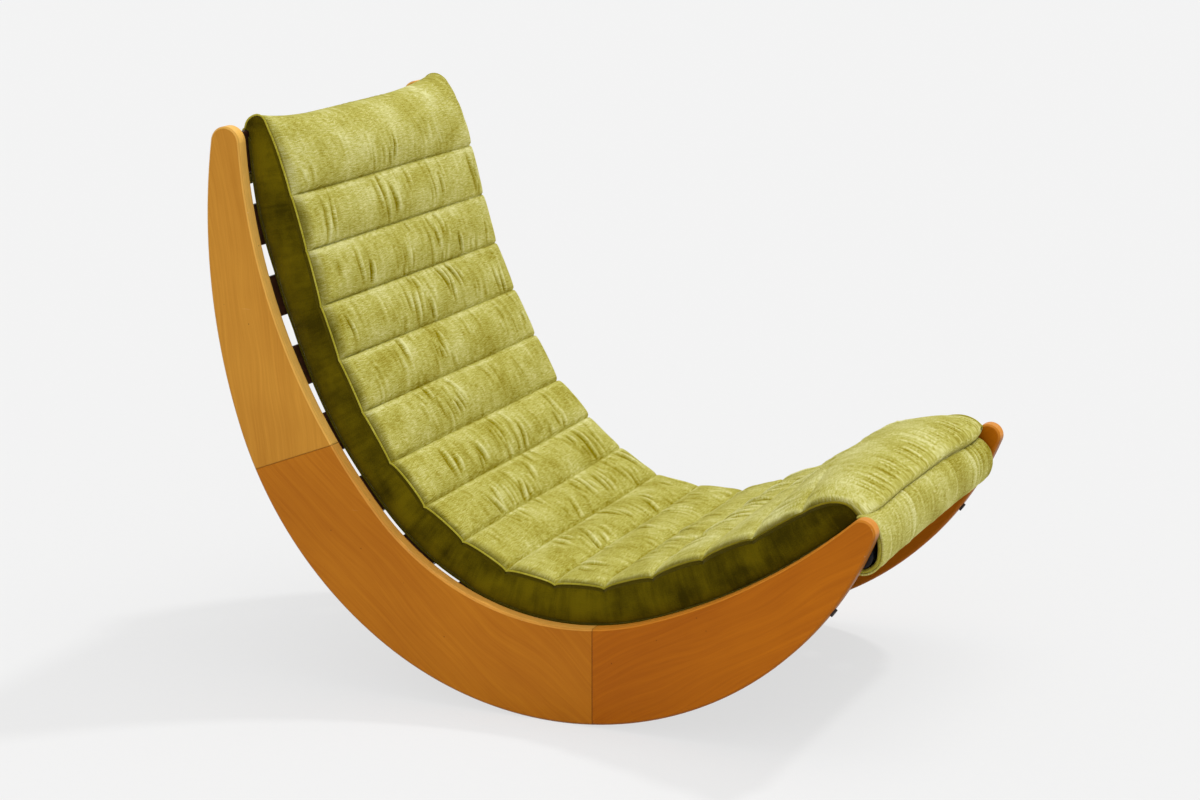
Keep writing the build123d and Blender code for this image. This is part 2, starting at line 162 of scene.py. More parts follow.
class Graph:
    """Builds a material's nodes with little writing."""

    def __init__(self, name):
        self.material = bpy.data.materials.new(name)
        self.material.use_nodes = True
        self.tree = self.material.node_tree
        self.tree.nodes.clear()
        self.out = self.tree.nodes.new("ShaderNodeOutputMaterial")
        self.shader = self.tree.nodes.new("ShaderNodeBsdfPrincipled")
        self.tree.links.new(self.shader.outputs[0], self.out.inputs[0])

    def node(self, kind, inputs=(), output=0, **settings):
        n = self.tree.nodes.new(kind)
        for key, value in settings.items():
            setattr(n, key, value)
        for key, value in dict(inputs).items():
            self.set(n, key, value)
        return n.outputs[output]

    def set(self, n, key, value):
        if isinstance(value, bpy.types.NodeSocket):
            self.tree.links.new(value, n.inputs[key])
        else:
            n.inputs[key].default_value = value

    def surface(self, **inputs):
        for key, value in inputs.items():
            self.set(self.shader, key.replace("_", " "), value)

    def math(self, kind, a, b=0.0, clamp=False):
        return self.node("ShaderNodeMath", {0: a, 1: b}, operation=kind, use_clamp=clamp)

    def sum(self, *parts):
        """Values added up, each with its weight."""
        total = None
        for value, weight in parts:
            value = self.math("MULTIPLY", value, weight)
            total = value if total is None else self.math("ADD", total, value)
        return total

    def mix(self, factor, a, b):
        return self.node("ShaderNodeMix", {0: factor, 6: a, 7: b}, output=2, data_type="RGBA")

    def ramp(self, factor, stops):
        n = self.tree.nodes.new("ShaderNodeValToRGB")
        while len(n.color_ramp.elements) < len(stops):
            n.color_ramp.elements.new(0.5)
        for e, (where, colour) in zip(n.color_ramp.elements, stops):
            e.position, e.color = where, (*colour, 1.0)
        self.tree.links.new(factor, n.inputs[0])
        return n.outputs[0]

    def noise(self, vector, scale, detail=3.0, rough=0.55, distort=0.0):
        return self.node("ShaderNodeTexNoise", {"Vector": vector, "Scale": scale, "Detail": detail,
                                                "Roughness": rough, "Distortion": distort})

    def mapped(self, vector, scale=(1, 1, 1), turn=(0, 0, 0)):
        return self.node("ShaderNodeMapping", {"Vector": vector, "Rotation": turn, "Scale": scale})

    def range(self, value, a, b, c, d):
        return self.node("ShaderNodeMapRange", {0: value, 1: a, 2: b, 3: c, 4: d})

    def bump(self, height, depth, normal=None, strength=1.0):
        given = {"Height": height, "Distance": depth, "Strength": strength}
        if normal is not None:
            given["Normal"] = normal
        return self.node("ShaderNodeBump", given)


def shade(colour, times):
    """A colour made lighter or darker."""
    return tuple(times * v for v in colour)


def opaque(colour, times=1.0):
    """The same with full alpha, for a node's socket."""
    return (*shade(colour, times), 1.0)


def linear(r, g, b):
    """A colour given in screen values from 0 to 255."""
    def one(v):
        v /= 255.0
        return v / 12.92 if v <= 0.04045 else ((v + 0.055) / 1.055) ** 2.4
    return one(r), one(g), one(b)


def velvet(name, light, dark, side):
    """Ribbed pile cloth: ribs along the seams, short streaks of pile across them, and a darker colour on the sides
    that is partly pile lying another way and partly painted shade; furrows carry painted shade and ridges a painted
    highlight.
    """
    g = Graph(name)
    weave = g.node("ShaderNodeAttribute", output=1, attribute_name="weave")
    # Where the darker side colour is mixed in: partly pile lying another way, partly painted shade
    pile_shade = g.node("ShaderNodeAttribute", output=2, attribute_name="pile_shade")
    # Painted shade in furrows, creases and seams, and a painted highlight on ridges
    shade_and_highlight = g.node("ShaderNodeAttribute", output=2, attribute_name="shade_and_highlight")
    wobble = g.noise(g.mapped(weave, (45, 60, 45)), 1.0, 3.0)
    sway = g.range(wobble, 0.3, 0.7, -0.0022, 0.0022)
    shift = g.node("ShaderNodeCombineXYZ", {"X": 0.0, "Y": sway, "Z": 0.0})
    moved = g.node("ShaderNodeVectorMath", {0: weave, 1: shift}, operation="ADD")
    ribs = g.noise(g.mapped(moved, (70, 520, 60)), 1.0, 1.0, 0.4)
    tuft = g.noise(g.mapped(weave, (520, 640, 300)), 1.0, 2.0, 0.6)
    streak = g.noise(g.mapped(weave, (120, 18, 40)), 1.0, 3.0, 0.6)
    patch = g.noise(g.mapped(weave, (12, 14, 9)), 1.0, 3.0, 0.55)
    tone = g.sum((streak, 0.16), (tuft, 0.36), (ribs, 0.32), (patch, 0.36), (shade_and_highlight, 0.16))
    # The middle tone is greener than half way between both ends
    middle = tuple(part * (a + b) for part, a, b in zip((0.48, 0.48, 0.265), dark, light))
    colour = g.ramp(g.range(tone, 0.44, 0.77, 0.0, 1.0), [(0.0, dark), (0.5, middle), (1.0, light)])
    uneven = g.sum((streak, 0.25), (patch, 0.75))
    pile = g.math("ADD", g.range(uneven, 0.35, 0.65, 0.0, 1.0), g.range(tuft, 0.3, 0.7, -0.2, 0.2))
    # The side colour, partly pile lying another way and partly painted shade, with painted shade and highlight from
    # the folds
    side_shaded_tone = g.ramp(g.math("ADD", pile, shade_and_highlight), [(0.0, shade(side, 0.5)), (1.0, shade(side, 1.7))])
    colour = g.mix(pile_shade, colour, side_shaded_tone)
    relief = g.sum((ribs, 0.7), (tuft, 0.6))
    g.surface(Base_Color=colour, Roughness=0.95, Normal=g.bump(relief, 0.0012), Specular_IOR_Level=0.03,
              Sheen_Weight=0.25, Sheen_Roughness=0.3, Sheen_Tint=(0.95, 0.9, 0.45, 1.0))
    return g.material


def wood(name, grain, light, dark, edge, joints):
    """Lacquered plywood.

    grain is the turn of the grain about X; joints are planes (y, z, ny, nz), each with a fine dark line.
    """
    g = Graph(name)
    where = g.node("ShaderNodeTexCoord", output=3)
    along = g.mapped(where, (1, 1, 1), (grain, 0, 0))
    normal = g.node("ShaderNodeNewGeometry", output=1)
    split = g.node("ShaderNodeSeparateXYZ", {0: normal})
    on_face = g.range(g.math("ABSOLUTE", split), 0.55, 0.92, 0.0, 1.0)
    warp = g.noise(g.mapped(along, (2, 2.2, 6)), 1.0, 2.0)
    sway = g.range(warp, 0.3, 0.7, -0.02, 0.02)
    shift = g.node("ShaderNodeCombineXYZ", {"X": 0.0, "Y": 0.0, "Z": sway})
    bent = g.node("ShaderNodeVectorMath", {0: along, 1: shift}, operation="ADD")
    fibre = g.noise(g.mapped(bent, (40, 4, 190)), 1.0, 4.0, 0.6)
    pores = g.noise(g.mapped(bent, (90, 26, 900)), 1.0, 2.0, 0.55)
    cloud = g.noise(g.mapped(along, (4, 3.2, 5)), 1.0, 3.0, 0.55)
    tone = g.sum((fibre, 0.42), (cloud, 0.46), (pores, 0.16))
    middle = tuple(0.45 * a + 0.55 * b for a, b in zip(dark, light))
    face = g.ramp(g.range(tone, 0.36, 0.70, 0.0, 1.0), [(0.0, dark), (0.55, middle), (1.0, light)])
    # The edge shows the plies as faint lines that run with it
    plies = g.node("ShaderNodeTexWave", {"Vector": where, "Scale": 95.0, "Distortion": 0.4},
                   output=1, bands_direction="X")
    end_grain = g.noise(g.mapped(where, (300, 40, 40)), 1.0, 3.0)
    layers = g.range(g.sum((plies, 0.35), (end_grain, 0.65)), 0.3, 0.75, 0.0, 1.0)
    band = g.mix(layers, opaque(edge, 0.82), opaque(edge, 1.1))
    # Edges that face down are darkened: painted shade underneath
    facing_up_for_shade = g.node("ShaderNodeSeparateXYZ", {0: normal}, output=2)
    band = g.mix(g.range(facing_up_for_shade, -0.35, 0.15, 0.8, 0.0), band, opaque(dark, 0.55))
    colour = g.mix(on_face, band, face)
    # Specks, chips along the rims and short pale scratches from use
    speck = g.node("ShaderNodeTexVoronoi", {"Vector": where, "Scale": 26.0, "Randomness": 1.0})
    dirt = g.range(speck, 0.016, 0.04, 0.75, 0.0)
    colour = g.mix(dirt, colour, opaque(dark, 0.35))
    flaked = g.range(g.noise(g.mapped(where, (90, 150, 150)), 1.0, 4.0, 0.7), 0.66, 0.72, 0.0, 0.7)
    on_rim = g.range(g.math("ABSOLUTE", g.math("SUBTRACT", on_face, 0.5)), 0.3, 0.48, 1.0, 0.0)
    colour = g.mix(g.math("MULTIPLY", flaked, on_rim), colour, (0.8, 0.62, 0.4, 1.0))
    drawn_out = g.mapped(where, (20, 3.2, 34), (0.5, 0, 0))
    scratch = g.node("ShaderNodeTexVoronoi", {"Vector": drawn_out, "Scale": 1.0, "Randomness": 1.0})
    pale = g.range(scratch, 0.02, 0.05, 0.3, 0.0)
    colour = g.mix(pale, colour, (0.75, 0.45, 0.2, 1.0))
    for y, z, ny, nz in joints:
        off = g.node("ShaderNodeVectorMath", {0: where, 1: (0.0, ny, nz)}, output=1, operation="DOT_PRODUCT")
        away = g.math("ABSOLUTE", g.math("SUBTRACT", off, (y * ny + z * nz) / 1000.0))
        colour = g.mix(g.range(away, 0.0003, 0.0013, 0.45, 0.0), colour, opaque(dark, 0.28))
    relief = g.sum((fibre, 0.5), (pores, 0.5))
    eased = g.node("ShaderNodeBevel", {"Radius": 0.0045}, samples=6)
    rough = g.range(cloud, 0.3, 0.7, 0.34, 0.48)
    g.surface(Base_Color=colour, Roughness=rough, Specular_IOR_Level=0.1, Normal=g.bump(relief, 0.00012, eased))
    return g.material


def stained(name, colour, rough):
    """Dark stained beech for the slats."""
    g = Graph(name)
    where = g.node("ShaderNodeTexCoord", output=3)
    fibre = g.noise(g.mapped(where, (5, 160, 160)), 1.0, 4.0, 0.6)
    cloud = g.noise(g.mapped(where, (6, 14, 14)), 1.0, 2.0)
    tone = g.range(g.sum((fibre, 0.7), (cloud, 0.3)), 0.35, 0.65, 0.0, 1.0)
    tint = g.ramp(tone, [(0.0, shade(colour, 0.6)), (1.0, shade(colour, 1.7))])
    dull = g.range(fibre, 0.3, 0.7, rough - 0.06, rough + 0.1)
    g.surface(Base_Color=tint, Roughness=dull, Normal=g.bump(fibre, 0.0002))
    return g.material


def painted(name, colour, rough, metal=0.0):
    """Painted steel or moulded rubber with a fine uneven skin."""
    g = Graph(name)
    where = g.node("ShaderNodeTexCoord", output=3)
    skin = g.noise(g.mapped(where, (420, 420, 420)), 1.0, 2.0)
    wear = g.noise(g.mapped(where, (24, 40, 40)), 1.0, 4.0, 0.65)
    tint = g.ramp(g.range(wear, 0.35, 0.7, 0.0, 1.0), [(0.0, shade(colour, 0.75)), (1.0, shade(colour, 1.5))])
    dull = g.range(wear, 0.3, 0.7, rough - 0.07, rough + 0.1)
    g.surface(Base_Color=tint, Roughness=dull, Normal=g.bump(skin, 0.00008), Metallic=metal)
    return g.material


# The side colour is the pile on the sides in shade: partly pile lying another way, partly painted shade
VELVET_LIGHT, VELVET_DARK, VELVET_SIDE_SHADED = linear(220, 217, 156), linear(134, 120, 4), linear(78, 67, 3)
velvet_cloth = velvet("velvet_cloth", VELVET_LIGHT, VELVET_DARK, VELVET_SIDE_SHADED)
ROCKER_RADIUS, BACK_JOINT_ANGLE, FRONT_JOINT_Y = 559.0, math.radians(69), -66.0
UPPER_JOINT = (0.0, ROCKER_RADIUS, math.cos(BACK_JOINT_ANGLE), math.sin(BACK_JOINT_ANGLE))
LOWER_JOINT = (FRONT_JOINT_Y, 0.0, 1.0, 0.0)
BACK_EDGE, SEAT_EDGE, FRONT_EDGE = linear(242, 188, 92), linear(222, 160, 70), linear(214, 138, 44)
wood_back = wood("wood_back", math.radians(-82), linear(203, 143, 50), linear(177, 116, 32), BACK_EDGE, [UPPER_JOINT])
wood_seat = wood("wood_seat", math.radians(-40), linear(190, 118, 22), linear(164, 93, 8), SEAT_EDGE,
                 [UPPER_JOINT, LOWER_JOINT])
wood_front = wood("wood_front", math.radians(32), linear(188, 107, 4), linear(160, 84, 0), FRONT_EDGE, [LOWER_JOINT])
wood_tongue = wood("wood_tongue", 0.0, linear(190, 140, 80), linear(150, 100, 50), SEAT_EDGE, [])
slat_dark = stained("slat_dark", linear(42, 17, 8), 0.42)
bar_paint = painted("bar_paint", linear(24, 28, 34), 0.4, 0.3)
stop_rubber = painted("stop_rubber", linear(36, 22, 16), 0.7)

for name, obj in nodes.items():
    skin = None
    if name.endswith("back_board"):
        skin = wood_back
    elif name.endswith("seat_board"):
        skin = wood_seat
    elif name.endswith("front_board"):
        skin = wood_front
    elif name.endswith("tongues"):
        skin = wood_tongue
    elif name.startswith("slat") or name == "top_rail":
        skin = slat_dark
    elif name.startswith("front_bar"):
        skin = bar_paint
    elif name == "runner_stops":
        skin = stop_rubber
    if skin:
        obj.data.materials.clear()
        obj.data.materials.append(skin)

# Cushion: lines along the near edge, the far edge and just inside both, as (place, height)
PER_CHANNEL = 18
NEAR_SEAM = [60.5, 68, 64.5, 59.5, 55.5, 51, 53, 54.5, 49.5, 53, 53.5, 58.5, 61.5, 58.5, 56]
FAR_SEAM = [66, 70, 70, 69, 66, 60, 62, 60, 54, 55, 54, 58, 62, 66, 60]
INNER_NEAR = [h + 5 for h in NEAR_SEAM[:14]] + [62]
INNER_FAR = [83, 88, 86, 86, 83, 73, 80, 76, 65, 68, 65, 72, 75, 86, 80]
INNER_MID = [74, 80, 78, 75, 72, 65, 69, 68, 60, 63, 62, 68, 71, 77, 87]
NEAR_CROWN = [11] * 13 + [12]
MID_CROWN = [9, 9, 9, 9, 9, 10, 9, 9, 9, 9, 9, 9, 9, 8]
FAR_CROWN = [4, 4, 4, 5, 6, 10, 5, 6, 5, 7, 5, 4, 4, 6]
NEAR_X, FAR_X = -300.0, 313.0
# Where each side's foot lies: places along the seat line, and X there
NEAR_FOOT = ([-534, -400, -300, 165, 198, 340, 500, 590, 690, 790, 880, 1030],
             [-303, -309, -311.5, -311.8, -305.5, -305, -305, -300, -292, -294, -303, -304])
FAR_FOOT = ([-534, 1030], [304, 304])
# Rows crowd towards both seams of a channel, and the top end and the roll have twice as many
q_even = np.arange(PER_CHANNEL) / PER_CHANNEL
Q = 0.5 * q_even + 0.25 * (1 - np.cos(math.pi * q_even))
END = 2 * PER_CHANNEL


def channel_line(seam_heights, swell, flatness, power, top, roll):
    """One line along the cushion's top, from the top end over the channels to the front tuck."""
    line = [smooth_path(top, END + 1)[:-1]]
    for n in range(CHANNELS):
        form = (1 - np.abs(2 * Q - 1) ** flatness) ** power
        flat = seam_heights[n] + (seam_heights[n + 1] - seam_heights[n]) * Q
        line.append(np.stack([SEAMS[n] + (SEAMS[n + 1] - SEAMS[n]) * Q, flat + swell[n] * form], 1))
    line.append(smooth_path(roll, END + 1))
    return np.vstack(line)


near_line = channel_line(NEAR_SEAM, [3.0] * 5 + [7.0] * 8 + [3.0], 2.0, 0.6,
                         [(1019.5, -11), (1031, -7), (1039, 1), (1043.5, 13), (1039, 24), (1022, 32), (990, 44),
                          (945, 55), (FIRST_SEAM, NEAR_SEAM[0])],
                         [(SEAMS[14], 56), (-478, 54), (-500, 48.5), (-517, 39.5), (-529, 28), (-533, 14), (-533, -3)])
far_line = channel_line(FAR_SEAM, [2.0] * 14, 2.0, 1.0,
                        [(1019.5, -11), (1031, -7), (1039, 1), (1042, 13), (1039, 25), (1027, 38), (992, 52),
                         (950, 60), (FIRST_SEAM, FAR_SEAM[0])],
                        [(SEAMS[14], 58), (-478, 54), (-500, 47), (-517, 38), (-529, 27), (-537, 13), (-540, -3)])
inner_near = channel_line(INNER_NEAR, NEAR_CROWN, 3.0, 0.42,
                          [(1019.5, -11), (1031, -6), (1040, 6), (1043, 20), (1037, 36), (1021, 48), (1000, 57),
                           (972, 66), (940, 73), (917, 72.5), (FIRST_SEAM, INNER_NEAR[0])],
                          [(SEAMS[14], INNER_NEAR[14]), (-467, 71), (-486, 73), (-508, 66), (-527, 50), (-543, 29),
                           (-551, 14), (-555, 2), (-554, -5), (-548, -8)])
inner_mid = channel_line(INNER_MID, MID_CROWN, 3.0, 0.42,
                         [(1019.5, -11), (1032, -6), (1041, 6), (1044, 21), (1040, 37), (1027, 53), (1006, 65),
                          (978, 74), (945, 80), (918, 80.5), (FIRST_SEAM, INNER_MID[0])],
                         [(SEAMS[14], INNER_MID[14]), (-474, 86), (-495, 79), (-515, 66), (-532, 48), (-544, 28),
                          (-550, 13), (-550.5, 3), (-547, -3), (-540, -4.5)])
inner_far = channel_line(INNER_FAR, FAR_CROWN, 3.0, 0.42,
                         [(1019.5, -11), (1032, -6), (1041, 6), (1044, 22), (1041, 38), (1033, 51), (1020, 61),
                          (1003, 69), (985, 76), (965, 80.5), (940, 85), (917, 86), (FIRST_SEAM, INNER_FAR[0])],
                         [(SEAMS[14], INNER_FAR[14]), (-470, 76), (-488, 68), (-506, 58), (-522, 42), (-537, 24),
                          (-546, 6), (-545, -6), (-540, -13), (-532, -15)])
ROWS = len(near_line)
WIDTH = FAR_X - NEAR_X
# Columns across the cushion lie closer together near both edges
EDGE_BAND, EDGE_COLS, MIDDLE_COLS = 60, 25, 176
across = np.concatenate([np.linspace(0, EDGE_BAND, EDGE_COLS)[:-1],
                         np.linspace(EDGE_BAND, WIDTH - EDGE_BAND, MIDDLE_COLS)[:-1],
                         np.linspace(WIDTH - EDGE_BAND, WIDTH, EDGE_COLS)])
COLS = len(across)
share = across / WIDTH
last = ROWS - END - 1
row_no = np.arange(ROWS)
to_roll = np.interp(row_no, [last - 26, last + 6], [0, 1])
to_top = np.interp(row_no, [0, END], [1, 0])
near_wide = 38 + 34 * to_roll + 14 * to_top
far_wide = 24 + 60 * to_roll + 34 * to_top


def edge_rise(d, wide):
    """How far the surface has risen from its edge seam to its middle, d millimetres in."""
    t = np.clip(d[None, :] / wide[:, None], 0, 1)
    return (1 - (1 - t) ** 2.0) ** 0.6


def ease(t):
    t = np.clip(t, 0, 1)
    return t * t * (3 - 2 * t)


rise_near, rise_far = edge_rise(across, near_wide), edge_rise(WIDTH - across, far_wide)
rise = np.minimum(rise_near, rise_far)
by_near, by_far = ease(1 - share / 0.34), ease((share - 0.62) / 0.38)
inner = (inner_near[:, None] * by_near[None, :, None] + inner_far[:, None] * by_far[None, :, None]
         + inner_mid[:, None] * (1 - by_near - by_far)[None, :, None])
edge = near_line[:, None] * (1 - share)[None, :, None] + far_line[:, None] * share[None, :, None]
top = edge + (inner - edge) * rise[..., None]
top_place, top_height = top[..., 0].copy(), top[..., 1].copy()
top_x = np.broadcast_to(NEAR_X + across, top_place.shape).copy()
place_line = 0.5 * (inner_near[:, 0] + inner_far[:, 0])
# The top end sags between its corners
TOP_SAG = 17.5
sag = TOP_SAG * (1 - np.abs(2 * share - 1) ** 3.0)
top_place -= sag[None, :] * np.interp(row_no, [0, 4, END - 14, END], [0, 1, 1, 0])[:, None]
# The pillow ends swell out past the edge seam
row_swell = np.zeros(ROWS)
for n in range(CHANNELS):
    row_swell[END + n * PER_CHANNEL:END + (n + 1) * PER_CHANNEL] = (1 - (2 * Q - 1) ** 2) ** 0.6
near_push = np.exp(-((across - 8) / 7.0) ** 2)
far_push = np.exp(-((WIDTH - across - 8) / 7.0) ** 2)
top_x += row_swell[:, None] * (1.5 * far_push - 4.0 * near_push)[None, :]
y, z = at(top_place, top_height)
top_points = np.stack([top_x, y, z], -1)


def waves(count, size_place, size_x, seed):
    """Smooth seeded noise over the cushion's top, about -1 to 1."""
    r = np.random.default_rng(seed)
    total = np.zeros((ROWS, COLS))
    for _ in range(count):
        a, b, c = r.normal(0, 1 / size_place), r.normal(0, 1 / size_x), r.uniform(0, 2 * math.pi)
        total += np.sin(a * place_line[:, None] + b * across[None, :] + c)
    return total / math.sqrt(count)


# Cloth: the cover is cut wider than the wadding, held at the seams and edges, and swells between them
CLOTH_FRAMES, CLOTH_PRESSURE, MOST_MOVED = 20, 4.0, 9.0
seam_near = np.min(np.abs(place_line[:, None] - np.array(SEAMS[:CHANNELS])[None, :]), axis=1)
on_seam = np.zeros(ROWS, bool)
on_seam[[END + n * PER_CHANNEL for n in range(CHANNELS)]] = True


def settle(points):
    """The top's points after a cloth run on every other row and column, as far as they may move."""
    r_on, c_on = np.arange(0, ROWS, 2), np.unique(np.append(np.arange(0, COLS, 2), COLS - 1))
    spare = np.clip(0.05 + 0.04 * waves(24, 60.0, 70.0, 11), 0.0, 0.12) * np.clip(rise, 0, 1)
    cut = points.copy()
    wider = 1 + 0.5 * (spare[:, 1:] + spare[:, :-1])
    cut[:, 1:, 0] = cut[:, :1, 0] + np.cumsum(np.diff(points[..., 0], axis=1) * wider, axis=1)
    begin, cut = points[np.ix_(r_on, c_on)], cut[np.ix_(r_on, c_on)]
    rows, cols = len(r_on), len(c_on)
    piece = new_piece("cloth_run", begin.reshape(-1, 3), grid_faces(rows, cols, flip=True), velvet_cloth)
    piece.shape_key_add(name="placed")
    key = piece.shape_key_add(name="cut")
    key.data.foreach_set("co", (cut / 1000.0).astype(np.float32).ravel())
    held = np.zeros((rows, cols), bool)
    held[on_seam[r_on]] = True
    held[:, :2] = held[:, -2:] = True
    held[:4] = held[-5:] = True
    group = piece.vertex_groups.new(name="held")
    group.add(np.flatnonzero(held.ravel()).tolist(), 1.0, "REPLACE")
    group.add(np.flatnonzero(~held.ravel()).tolist(), 0.02, "REPLACE")
    run = piece.modifiers.new("run", "CLOTH")
    cloth = run.settings
    cloth.quality, cloth.mass, cloth.air_damping = 4, 0.3, 4.0
    cloth.tension_stiffness, cloth.compression_stiffness = 15.0, 15.0
    cloth.shear_stiffness, cloth.bending_stiffness = 5.0, 0.05
    cloth.vertex_group_mass, cloth.pin_stiffness, cloth.rest_shape_key = "held", 1.0, key
    cloth.use_pressure, cloth.uniform_pressure_force = True, CLOTH_PRESSURE
    cloth.effector_weights.gravity = 0.0
    run.collision_settings.use_collision = False
    run.point_cache.frame_start, run.point_cache.frame_end = 1, CLOTH_FRAMES
    for f in range(1, CLOTH_FRAMES + 1):
        scene.frame_set(f)
    ready = piece.evaluated_get(bpy.context.evaluated_depsgraph_get()).to_mesh()
    co = np.empty(rows * cols * 3, np.float32)
    ready.vertices.foreach_get("co", co)
    scene.frame_set(1)
    mesh = piece.data
    bpy.data.objects.remove(piece)
    bpy.data.meshes.remove(mesh)
    move = co.reshape(rows, cols, 3).astype(float) * 1000.0 - begin
    size = np.linalg.norm(move, axis=2)
    move *= (np.minimum(size, MOST_MOVED) / np.maximum(size, 1e-6))[..., None]
    # The rows and columns left out follow their neighbours
    finer = np.stack([[np.interp(row_no, r_on, move[:, c, k]) for c in range(cols)] for k in range(3)], -1)
    finer = np.stack([[np.interp(across, across[c_on], finer[:, r, k]) for r in range(ROWS)] for k in range(3)], -1)
    return points + finer


top_points = settle(top_points)
y0, z0 = at(top_place, top_height)
y1, z1 = at(top_place, top_height + 1.0)
# Stitched creases at the seams; the last one shows only by the near edge
drop = 1.2 * np.exp(-((top_place - 997) / 4.0) ** 2) * rise
for n, s in enumerate(SEAMS):
    fade = np.exp(-(across / 60.0) ** 2) if n == CHANNELS else np.ones(COLS)
    crease = 2.4 * np.exp(-((place_line - s) / 2.3) ** 2)
    drop = drop + crease[:, None] * fade[None, :] * np.clip(rise, 0.15, 1)
# Puckers: small groups of narrow furrows across the channels, each with a ridge beside it
PUCKER_GROUPS, ROLL_GATHERS = 330, 170
SEAT_FIRST, SEAT_LAST = 6, 12
lift = np.zeros((ROWS, COLS))
count = CHANNELS + 1
on_seat = (np.arange(count) >= SEAT_FIRST) & (np.arange(count) <= SEAT_LAST)
lean_of = np.where(on_seat, rng.normal(0.22, 0.12, count), rng.normal(0.0, 0.10, count))
for _ in range(PUCKER_GROUPS):
    n = int(rng.integers(0, count))
    seat = SEAT_FIRST <= n <= SEAT_LAST
    middle = rng.uniform(935, 985) if n == 0 else SEAMS[n - 1] - rng.uniform(22, 76)
    centre = float(np.clip(rng.beta(1.7, 1.3) * WIDTH, 40, WIDTH - 25))
    lean = lean_of[n] + rng.normal(0.0, 0.10)
    strong = rng.random() ** 2
    for k in range(int(rng.integers(1, 4))):
        length = rng.uniform(26, 84) if seat else rng.uniform(18, 80)
        wide = rng.uniform(2.6, 5.2)
        deep = (0.3 + 3.3 * strong * rng.uniform(0.3, 1.25)) * (1.15 if seat else 1.0)
        v = place_line[:, None] - middle - rng.normal(0, 16)
        inside = np.exp(-(np.abs(v) / (0.5 * length)) ** 3.0)
        u = (across[None, :] - centre - lean * v - 3.0 * np.sin(v / 17.0 + centre)) / wide
        lift += deep * inside * (-np.exp(-u ** 2) + 0.85 * np.exp(-(u - 1.75) ** 2))
        centre += rng.choice([-1, 1]) * rng.uniform(8, 34)
# Fine gathers where the roll meets its pocket
for _ in range(ROLL_GATHERS):
    centre, wide, deep = rng.uniform(60, WIDTH - 20), rng.uniform(2.4, 3.6), rng.uniform(0.3, 1.1)
    reach = rng.uniform(8, 24)
    inside = np.exp(-np.clip((place_line + 540) / reach, 0, None) ** 2) * (place_line < -470)
    u = (across[None, :] - centre - 0.2 * (place_line[:, None] + 540)) / wide
    lift += deep * inside[:, None] * (-np.exp(-u ** 2) + 0.8 * np.exp(-(u - 1.7) ** 2))
hold = np.clip(seam_near / 7.0, 0.12, 1.0)
hold[place_line > 1002] = 0.25
hold[-10:] *= np.linspace(1, 0, 10)
lift = np.clip(lift, -5.0, 4.5) * hold[:, None] * np.clip(rise, 0, 1) ** 2
drop = drop - lift
top_points[..., 1] -= drop * (y1 - y0)
top_points[..., 2] -= drop * (z1 - z0)

# Sides: boxing strips from the edge seam down to the welt at the foot
SIDE_ROWS, SIDE_DENTS = 11, 90


def boxing(line, x_edge, foot_x, out, belly_out, seed):
    """Points of a side strip from the edge seam to the foot, with their places, heights and dents."""
    r = np.random.default_rng(seed)
    steps = np.concatenate([[0], np.cumsum(np.linalg.norm(np.diff(line, axis=0), axis=1))])
    foot = line[:, 0].copy()
    foot[:END + 1] = line[0, 0] + (SEAMS[0] - line[0, 0]) * steps[:END + 1] / steps[END]
    tail = (steps[last:] - steps[last]) / (steps[-1] - steps[last])
    foot[last:] = SEAMS[14] + (line[-1, 0] - SEAMS[14]) * tail
    low = np.full(ROWS, BASE)
    low[:END + 1] = np.interp(foot[:END + 1], [SEAMS[0], 1017, 1021], [BASE, BASE, line[0, 1]])
    low[last:] = np.interp(tail, [0, 0.7, 1], [BASE, BASE, line[-1, 1]])
    w = np.linspace(0, 1, SIDE_ROWS)
    place = line[:, None, 0] * (1 - w) + foot[:, None] * w
    height = line[:, None, 1] * (1 - w) + low[:, None] * w
    belly = np.sin(math.pi * w) ** 0.75
    full = np.clip((line[:, 1] - low) / 50.0, 0, 1)[:, None]
    x = x_edge * (1 - w) + np.interp(foot, *foot_x)[:, None] * w + out * belly_out * belly[None, :] * full
    dent = np.zeros((ROWS, SIDE_ROWS))
    for _ in range(SIDE_DENTS):
        c, wide, deep = r.uniform(-500, 1000), r.uniform(5, 13), r.uniform(0.4, 2.2)
        span = np.exp(-((w - (0.72 if r.random() < 0.75 else 0.3)) / 0.26) ** 2)
        deep *= 0.4 if c > 350 else 1.0
        u = (foot[:, None] - c + 14 * (w[None, :] - 0.5) * r.normal()) / wide
        dent += deep * np.exp(-u ** 2) * span[None, :]
    x = x - out * dent * full * belly[None, :]
    y, z = at(place, height)
    return np.stack([np.broadcast_to(x, place.shape), y, z], -1), place, height, dent * belly[None, :]


near_side, near_place, near_height, near_dent = boxing(near_line, NEAR_X, NEAR_FOOT, -1, 6.5, 3)
far_side, far_place, far_height, far_dent = boxing(far_line, FAR_X, FAR_FOOT, 1, 6.0, 4)

verts = np.vstack([top_points.reshape(-1, 3), near_side[:, 1:].reshape(-1, 3), far_side[:, 1:].reshape(-1, 3)])
faces = grid_faces(ROWS, COLS)
near_start = ROWS * COLS
far_start = near_start + ROWS * (SIDE_ROWS - 1)


def side_index(start, column, r, w):
    return r * COLS + column if w == 0 else start + r * (SIDE_ROWS - 1) + w - 1


